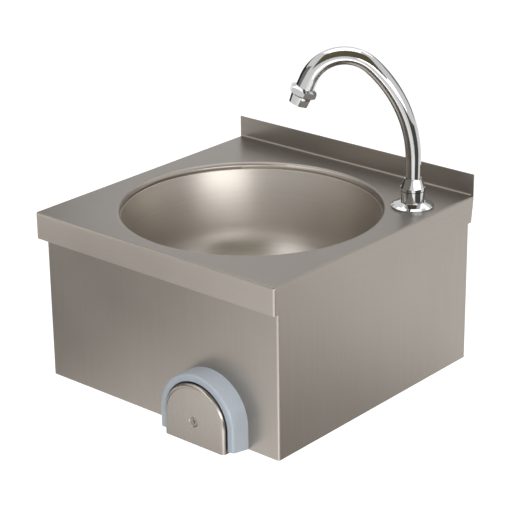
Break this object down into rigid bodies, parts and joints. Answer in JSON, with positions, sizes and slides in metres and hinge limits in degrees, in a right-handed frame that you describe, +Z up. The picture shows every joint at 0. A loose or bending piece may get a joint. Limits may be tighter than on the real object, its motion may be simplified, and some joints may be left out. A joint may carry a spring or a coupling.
{
  "type": "hand wash sink",
  "caption": "Wall-hung square stainless steel hand wash sink with a round bowl, a splashback, a swivelling swan-neck spout and a spring-loaded knee push that opens the water valve.",
  "frame": {"origin": "on the wall, midway between the two screw holes of the wall bracket", "axes": "+Z up, +Y into the wall, +X to the right seen from the front"},
  "size_m": [0.4, 0.4205, 0.4398],
  "materials": {
    "sheet_steel": "fine brushed grain",
    "bowl_steel": "satin, spun",
    "cap_steel": "fine brushed face with polished edge",
    "chrome": "mirror plated",
    "guard_plastic": "satin grey moulding",
    "bracket_steel": "plain cold-rolled",
    "screw_steel": "bright turned",
    "spring_steel": "bright drawn wire",
    "brass": "machined",
    "copper": "drawn copper",
    "black_plastic": "moulded",
    "white_plastic": "moulded",
    "rubber": "matt",
    "fibre": "pressed fibre"
  },
  "bodies": {
    "basin": {"deck": "sheet_steel", "skirt": "sheet_steel", "bowl": "bowl_steel", "waste_flange": "bowl_steel", "tap_flange": "chrome", "tap_body": "chrome", "swivel_nut": "chrome", "knee_guard": "guard_plastic", "hanging_rail": "bracket_steel", "wall_bracket": "bracket_steel", "valve_plate": "bracket_steel", "tap_washer": "bracket_steel", "guard_screws": "screw_steel", "waste_screw": "screw_steel", "return_spring": "spring_steel", "cold_poppet_spring": "spring_steel", "hot_poppet_spring": "spring_steel", "valve_body": "brass", "panel_nut": "brass", "mixing_tee": "brass", "cold_inlet_union": "brass", "hot_inlet_union": "brass", "pipe_nuts": "brass", "pipe_olives": "brass", "tap_backnut": "brass", "mixed_water_pipe": "copper", "waste_body": "white_plastic", "cold_poppet_guide": "white_plastic", "hot_poppet_guide": "white_plastic", "wall_pads": "rubber", "rod_seals": "rubber", "tap_gasket": "rubber", "spout_seals": "rubber", "waste_gasket": "rubber", "waste_seal": "rubber", "tee_gasket": "fibre"},
    "spout": {"spout_tube": "chrome", "spout_ring": "brass", "nozzle_collar": "chrome", "aerator_housing": "chrome", "aerator_insert": "white_plastic", "aerator_washer": "rubber"},
    "knee_push": {"knee_cap": "cap_steel", "cap_core": "black_plastic", "cap_screw": "screw_steel", "push_rod": "screw_steel", "seat_washer": "rubber", "seat_disc": "brass", "stem_nut": "brass"},
    "cold_check": {"cold_poppet": "white_plastic"},
    "hot_check": {"hot_poppet": "white_plastic"}
  },
  "joints": [
    {"name": "spout_swivel", "type": "hinge", "parent": "basin", "child": "spout", "pos_m": [0.1607, -0.08, 0.076], "axis": [0, 0, 1], "range_deg": [-55, 165]},
    {"name": "knee_push_slide", "type": "slide", "parent": "basin", "child": "knee_push", "axis": [0, 1, 0], "range_m": [0, 0.008], "stiffness_N_per_m": 1500, "springref_m": -0.006, "deforming": ["return_spring"]},
    {"name": "cold_check_slide", "type": "slide", "parent": "basin", "child": "cold_check", "axis": [0, -1, 0], "range_m": [0, 0.003], "stiffness_N_per_m": 100, "springref_m": -0.003, "deforming": ["cold_poppet_spring"]},
    {"name": "hot_check_slide", "type": "slide", "parent": "basin", "child": "hot_check", "axis": [0, -1, 0], "range_m": [0, 0.003], "stiffness_N_per_m": 100, "springref_m": -0.003, "deforming": ["hot_poppet_spring"]}
  ]
}
